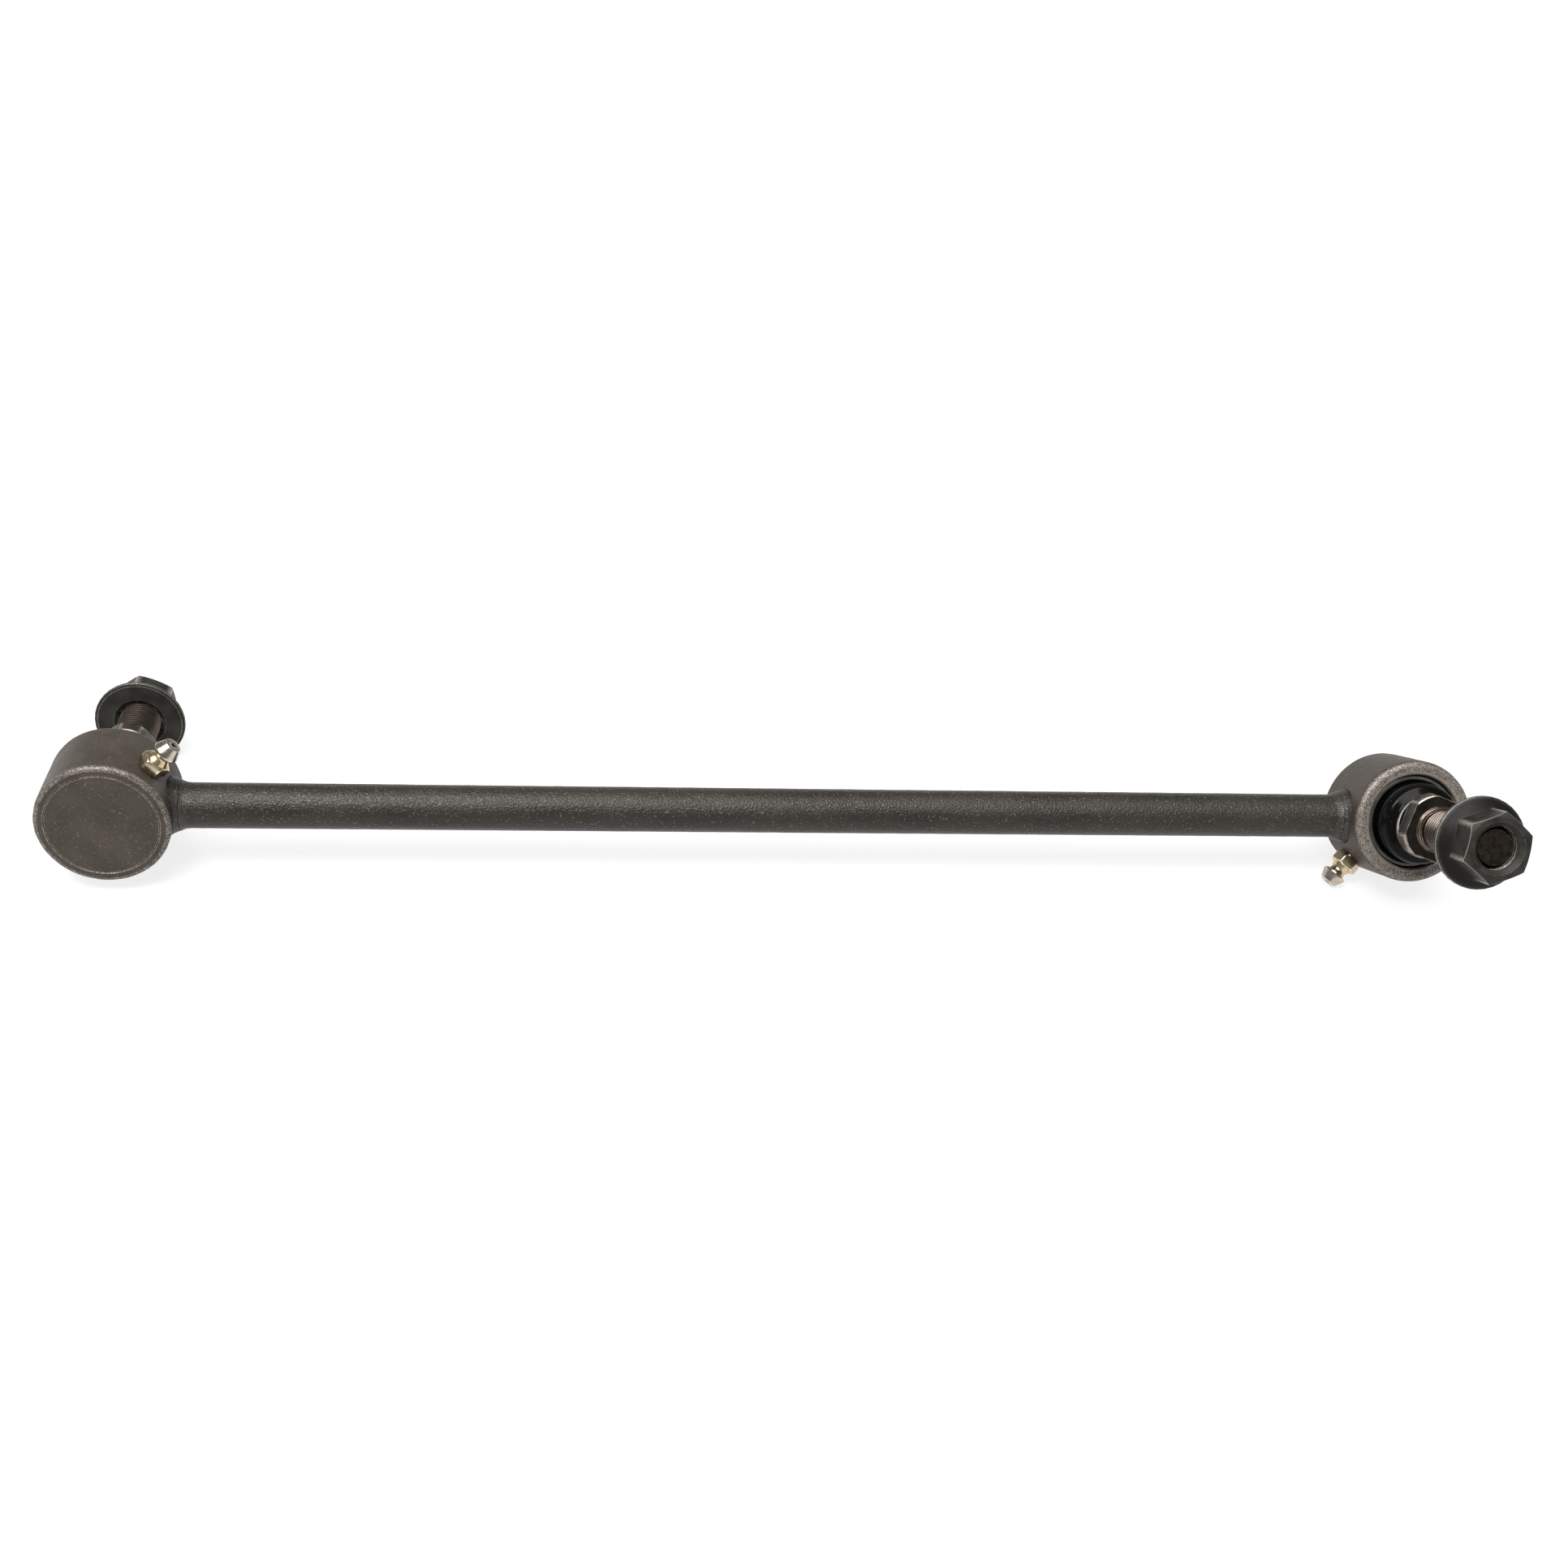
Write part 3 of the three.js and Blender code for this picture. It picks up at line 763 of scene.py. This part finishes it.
def collar_outline(turn):
    """Angles, radii and a share of flatness round the wrench collar."""
    half = math.acos(COLLAR_FLATS / 2 / COLLAR_TURNED_R)
    points = []
    for i in range(4):
        middle = turn + i * math.pi / 2
        for k in np.linspace(-1, 1, 11):
            across = COLLAR_FLATS / 2 * math.tan(half) * k * 0.985
            points.append((middle + math.atan2(across, COLLAR_FLATS / 2),
                           math.hypot(across, COLLAR_FLATS / 2), 1, 0.9 if abs(k) == 1 else 0))
        for k in np.linspace(0.03, 0.97, 9):
            edge = 0.9 if k in (0.03, 0.97) else 0
            angle = middle + half + (math.pi / 2 - 2 * half) * k
            points.append((angle, COLLAR_TURNED_R - 0.04 * edge, 0, edge))
    points.append((points[0][0] + 2 * math.pi,) + points[0][1:])
    return np.array(points).T


def stud(side, place, collar_turn):
    end = span(f"{side}_ball_stud", place)[1]
    angles, radii, flat, edge = collar_outline(collar_turn)
    skin = Skin(angles)
    ball = [(math.sqrt(BALL_R ** 2 - t * t), t, 0, 0) for t in np.linspace(BALL_FLAT_T, BALL_TOP_T, 26)]
    skin.profile(outline([(0, BALL_FLAT_T, 0, 0)] + ball))
    skin.paint = 2
    low, high = NECK_T
    skin.profile(outline([(NECK_R, low, 0, 0), (NECK_R, high, 0.6, 0), (NECK_TOP_R, NECK_TOP_T, 0.4, 0),
                          (NECK_TOP_R, COLLAR_T, 0.4, 0), (8.6, COLLAR_T, 0, 0)]))
    chamfer = COLLAR_TURNED_R - COLLAR_CHAMFER
    inner = np.minimum(radii, chamfer)
    drop = radii - inner
    skin.row(inner - 0.15, COLLAR_T, 0, 0)
    skin.row(inner, COLLAR_T + 0.03, 0.5, 0)
    skin.paint = np.where(flat > 0.5, 1, 2)
    skin.row(radii - 0.02, COLLAR_T + drop + 0.14, 0.8, 0)
    skin.row(radii, COLLAR_T + drop + 0.3, edge, 0)
    skin.row(radii, SEAT_T - drop - 0.3, edge, 0)
    skin.row(radii - 0.03, SEAT_T - drop - 0.12, 0.9, 0)
    skin.paint = 2
    skin.row(inner - 0.02, SEAT_T - 0.03, 0.85, 0)
    skin.paint = 3
    skin.row(inner - 0.16, SEAT_T, 0.3, 0)
    skin.row(inner - 0.4, SEAT_T, 0, 0)
    skin.row(ROOT_R + 0.6, SEAT_T, 0, 0)
    # The last number is painted shade at the foot of the root fillet.
    skin.row(ROOT_R + 0.1, SEAT_T, 0, 0.6)
    skin.paint = 6
    skin.profile(outline([(ROOT_R, SEAT_T + 0.02, 0, 0.4), (ROOT_R - 0.1, SEAT_T + 0.3, 0.2, 0.7),
                          (ROOT_R - 0.7, SEAT_T + 0.8, 0.5, 0.9), (THREAD_R + 0.05, SEAT_T + 1.4, 0.3, 0.6),
                          (THREAD_R - 0.1, SEAT_T + 1.55, 0.1, 0)]))
    skin.paint = 4
    groove = THREAD_R - THREAD_DEPTH
    # The last number is painted shade: dark in the groove where the thread starts, lighter near the end.
    skin.row(groove, SEAT_T + 1.6, 0, 0.9)
    skin.row(groove, SEAT_T + 2.0, 0, 0.8)
    skin.thread(SEAT_T + 2.0, end - 1.0, THREAD_R, THREAD_DEPTH)
    skin.row(groove, end - 0.8, 0, 0.4)
    skin.row(groove - 0.1, end - 0.2, 0.3, 0)
    skin.row(groove - 0.25, end, 0.5, 0)
    skin.paint = 5
    skin.profile([(r, end, 0) for r in np.linspace(groove - 0.6, 0, 9)])
    mesh = skin.mesh(f"{side}_stud_forging")
    materials = [POLISHED, STUD_FLATS, STUD_BROWN, STUD_DARK, STUD_THREAD, STUD_END, STUD_ROOT]
    return piece(f"{side}_stud_forging", mesh, place, f"{side}_stud", "stud_steel", materials,
                 f"{side}_ball_stud")


def nut(side, place, vertex_turn):
    face = span(f"{side}_flange_nut", place)[0]
    angles, radii = polygon(NUT_FLATS, 6, vertex_turn)
    skin = Skin(angles)
    apothem = NUT_FLATS / 2
    corner = radii.max()
    edge = np.clip((radii - corner + 0.22) / 0.2, 0, 1)
    crest = NUT_THREAD_R
    slope = (FLANGE_H - FLANGE_EDGE) / (FLANGE_R - apothem)

    def flange_top(r):
        return FLANGE_EDGE + (FLANGE_R - r) * slope

    def chamfer_top(r):
        return NUT_HEIGHT - np.maximum(0, r - (apothem - 0.2)) * NUT_CHAMFER_SLOPE

    skin.profile(outline([
        (crest, 1.0, 0, 0), (crest + 1.5, 0, 0.2, 0.5), (FLANGE_R - 0.9, 0, 0.25, 0.7),
        (FLANGE_R, 0.35, 0.2, 0.62), (FLANGE_R, FLANGE_EDGE, 0.35, 0.7),
        (FLANGE_R - 0.6, flange_top(FLANGE_R - 0.6), 0, 0),
    ]))
    # The last number is painted shade: it makes the flange's sloping top near black.
    skin.row(FLANGE_R - 0.9, flange_top(FLANGE_R - 0.9), 0, 1)
    skin.row(apothem + 1.9, flange_top(apothem + 1.9), 0, 1)
    base = flange_top(radii)
    # The last number is painted shade in the crease where the hex meets the flange.
    skin.row(radii + 0.6, flange_top(radii + 0.6), 0, 0.8)
    skin.row(radii + 0.22, base + 0.02, 0, 0.55)
    skin.row(radii + 0.06, base + 0.1, 0, 0.7)
    skin.row(radii, base + 0.35, edge, 0.15)
    top = chamfer_top(radii)
    for share in (0.06, 0.5, 0.94):
        skin.row(radii, base + 0.35 + (top - base - 0.7) * share, edge, 0)
    skin.row(radii, top - 0.22, edge, 0)
    skin.row(radii - 0.03, top - 0.08, np.maximum(edge, 0.85), 0)
    skin.row(radii - 0.1, chamfer_top(radii - 0.1) - 0.01, 0.85, 0)
    skin.row(radii - 0.2, chamfer_top(radii - 0.2), 0.1, 0)
    skin.row(np.minimum(radii - 0.25, apothem - 0.12), chamfer_top(apothem - 0.12) - 0.005, 0, 0)
    skin.row(apothem - 0.4, NUT_HEIGHT, 0, 0)
    skin.profile(outline([(apothem - 0.6, NUT_HEIGHT, 0, 0), (crest + 1.25, NUT_HEIGHT, 0.2, 0.35),
                          (crest + 0.05, NUT_HEIGHT - 1.1, 0.1, 0)]))
    for row in skin.rows:
        row[1] += face
    threads = Skin(angles)
    # The nut's thread grooves get painted shade too.
    threads.thread(face + 1.0, face + NUT_HEIGHT - 1.1, crest, -NUT_THREAD_DEPTH)
    skin.rows += threads.rows[::-1]
    skin.paints += threads.paints
    mesh = skin.mesh(f"{side}_hex_nut", closed=True)
    return piece(f"{side}_hex_nut", mesh, place, f"{side}_nut", "black_nut", [NUT_BLACK],
                 f"{side}_flange_nut")


def fitting_frame(side):
    """Z runs out along the grease fitting from the housing's surface."""
    out = Vector(joint(f"{side}_check_ball_travel")["axis"]).normalized()
    low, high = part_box(f"{side}_check_ball")
    start = (low + high) / 2 - out * FITTING_BALL_T * MM
    along = out.orthogonal().normalized()
    return axes(along, out, start)


def grease_fitting(side, turn):
    place = fitting_frame(side)
    angles, radii = polygon(FITTING_FLATS, 6, math.radians(turn), 0.25)
    skin = Skin(angles)
    apothem = FITTING_FLATS / 2
    edge = np.clip((radii - radii.max() + 0.18) / 0.16, 0, 1)

    def chamfer(r):
        return np.maximum(0, r - (apothem - 0.1)) * FITTING_CHAMFER_SLOPE

    # The last number in these rows is painted shade: on the shank and where the hex meets the housing.
    skin.profile(outline([(FITTING_BORE_R, SHANK_T, 0, 0), (SHANK_R, SHANK_T, 0.3, 0),
                          (SHANK_R, 0.2, 0, 0)]), 0.6)
    skin.row(radii - 0.5, 0.2 + chamfer(radii - 0.5), 0, 0.9)
    skin.row(radii - 0.08, 0.22 + chamfer(radii), 0.7, 0.2)
    skin.row(radii, 0.4 + chamfer(radii), edge, 0)
    skin.row(radii, 3.35 - chamfer(radii), edge, 0)
    skin.row(radii - 0.05, 3.5 - chamfer(radii), 0.9, 0)
    skin.row(radii - 0.2, 3.6 - chamfer(radii - 0.2), 0.5, 0)
    skin.row(np.minimum(radii - 0.3, apothem - 0.12), FITTING_HEX_T, 0, 0)
    skin.profile(outline([(3.05, 3.66, 0, 0), (2.9, 4.0, 0.6, 0), (2.3, 5.3, 1.2, 0), (2.65, 6.2, 0.4, 0)]))
    skin.paint = 1
    skin.profile(outline([(2.8, 6.25, 0, 0), (HEAD_R, HEAD_T, 0.35, 0.5),
                          (HEAD_R - 0.15, HEAD_T + 0.55, 0.3, 0.6), (TIP_R, TIP_T - 0.05, 0.15, 0.8),
                          (1.3, TIP_T, 0, 0)]))
    skin.profile(outline([(1.0, TIP_T, 0, 0), (0.8, TIP_T - 0.05, 0.05, 0.4),
                          (TIP_HOLE_R, 9.3, 0.05, 0)]))
    # The bore gets painted shade.
    skin.profile(outline([(TIP_HOLE_R + 0.02, 8.85, 0, 0), (FITTING_BORE_R, 8.4, 0, 0),
                          (FITTING_BORE_R, 0, 0, 0)]), 0.9)
    mesh = skin.mesh(f"{side}_fitting_body", closed=True)
    return piece(f"{side}_fitting_body", mesh, place, "link", "yellow_zinc", [YELLOW_ZINC, SILVER_ZINC],
                 f"{side}_grease_fitting")


def check_ball(side):
    place = fitting_frame(side)
    skin = Skin(circle(BALL_COLUMNS))
    for k in range(17):
        angle = math.pi * k / 16
        skin.row(FITTING_BALL_R * math.sin(angle), FITTING_BALL_T - FITTING_BALL_R * math.cos(angle))
    mesh = skin.mesh(f"{side}_valve_ball")
    return piece(f"{side}_valve_ball", mesh, place, f"{side}_check", "ball_steel", [POLISHED],
                 f"{side}_check_ball")


def check_spring(side):
    """A round wire wound in a helix."""
    place = fitting_frame(side)
    turns, steps, sides = 4, 96, 8
    low, high = CHECK_SPRING_T
    rings = []
    for i in range(steps + 1):
        angle = 2 * math.pi * turns * i / steps
        out = Vector((math.cos(angle), math.sin(angle), 0))
        centre = out * CHECK_COIL_R + Vector((0, 0, low + (high - low) * i / steps))
        rings.append([centre + out * CHECK_WIRE_R * math.cos(a)
                      + Vector((0, 0, CHECK_WIRE_R * math.sin(a)))
                      for a in (2 * math.pi * k / sides for k in range(sides))])
    mesh = tube(f"{side}_valve_spring", rings, closed=False)
    obj = piece(f"{side}_valve_spring", mesh, place, None, "spring_steel", [SPRING],
                f"{side}_check_spring")
    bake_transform(obj)


# ---- The link --------------------------------------------------------------------------------
rod()
# Each end: which way its rod points, then the turns of its collar, nut and fitting in degrees.
ENDS = (("left", 1, 56, 23, 12), ("right", -1, 70, 20, 6))
for number, (side, rodward, collar_turn, nut_turn, fitting_turn) in enumerate(ENDS, 2):
    place = housing_frame(side, rodward)
    leant = stud_frame(side, rodward)
    housing(side, place, number)
    saddle(side, place, number)
    weld(side, place, number)
    cover(side, place, number)
    bearings(side, place)
    springs(side, place)
    neck_ring(side, leant)
    boot(side, place, leant)
    stud(side, leant, math.radians(collar_turn))
    nut(side, leant, math.radians(nut_turn))
    grease_fitting(side, fitting_turn)
    check_ball(side)
    check_spring(side)


# ---- Floor, light and camera -----------------------------------------------------------------
FLOOR_DROP = 0.0002               # metres
FLOOR_GLOW = 0.82                 # keeps the paper white where the part shades it
WORLD_STRENGTH = 0.28
SUN_STRENGTH = 3.9
SUN_SPREAD = 50                   # degrees, for soft shadows
SUN_DIRECTION = (0.14, 0.14, -1)
KEY_PLACE = (-0.35, -0.3, 0.85)
KEY_AIM = (-0.05, 0, 0.02)
KEY_SIZE = (0.35, 0.25)
KEY_POWER = 6
CAMERA_PLACE = (-0.07696, -0.40502, 0.37103)
CAMERA_AIM = (0.12704, 0.76384, -0.63277)
CAMERA_ROLL = 6.71                # degrees
CAMERA_LENS = 42.27
CAMERA_SHIFT = (0.0198, -0.0104)


def floor():
    bm = bmesh.new()
    bmesh.ops.create_grid(bm, x_segments=1, y_segments=1, size=4)
    mesh = bpy.data.meshes.new("floor")
    bm.to_mesh(mesh)
    bm.free()
    obj = bpy.data.objects.new("floor", mesh)
    bpy.context.scene.collection.objects.link(obj)
    obj.location.z = -FLOOR_DROP
    s = Shade("floor_paper")
    mesh.materials.append(s.finish(s.mix(s.noise(300, 2), colour(0.17, 0.17, 0.17), colour(0.18, 0.18, 0.18)),
                                   0.9, 0.0))
    s.shader.inputs["Emission Color"].default_value = (1, 1, 1, 1)
    s.shader.inputs["Emission Strength"].default_value = FLOOR_GLOW


def softbox(name, location, aim, size, power):
    light = bpy.data.lights.new(name, "AREA")
    light.shape = "RECTANGLE"
    light.size, light.size_y = size
    light.energy = power
    obj = bpy.data.objects.new(name, light)
    bpy.context.scene.collection.objects.link(obj)
    obj.location = location
    obj.rotation_euler = (Vector(aim) - Vector(location)).to_track_quat("-Z", "Y").to_euler()


def studio():
    world = bpy.data.worlds.new("studio")
    bpy.context.scene.world = world
    world.use_nodes = True
    background = world.node_tree.nodes["Background"]
    background.inputs["Color"].default_value = (1, 1, 1, 1)
    background.inputs["Strength"].default_value = WORLD_STRENGTH
    sun = bpy.data.lights.new("sun", "SUN")
    sun.energy = SUN_STRENGTH
    sun.angle = math.radians(SUN_SPREAD)
    obj = bpy.data.objects.new("sun", sun)
    bpy.context.scene.collection.objects.link(obj)
    obj.rotation_euler = Vector(SUN_DIRECTION).to_track_quat("-Z", "Y").to_euler()
    softbox("key", KEY_PLACE, KEY_AIM, KEY_SIZE, KEY_POWER)


def camera():
    data = bpy.data.cameras.new("camera")
    obj = bpy.data.objects.new("camera", data)
    bpy.context.scene.collection.objects.link(obj)
    obj.location = CAMERA_PLACE
    level = Vector(CAMERA_AIM).to_track_quat("-Z", "Y").to_matrix()
    obj.rotation_euler = (level @ Matrix.Rotation(math.radians(CAMERA_ROLL), 3, "Z")).to_euler()
    data.sensor_width = 36
    data.lens = CAMERA_LENS
    data.shift_x, data.shift_y = CAMERA_SHIFT
    data.clip_start = 0.01
    bpy.context.scene.camera = obj


floor()
studio()
camera()
bpy.context.scene.view_settings.view_transform = "Standard"
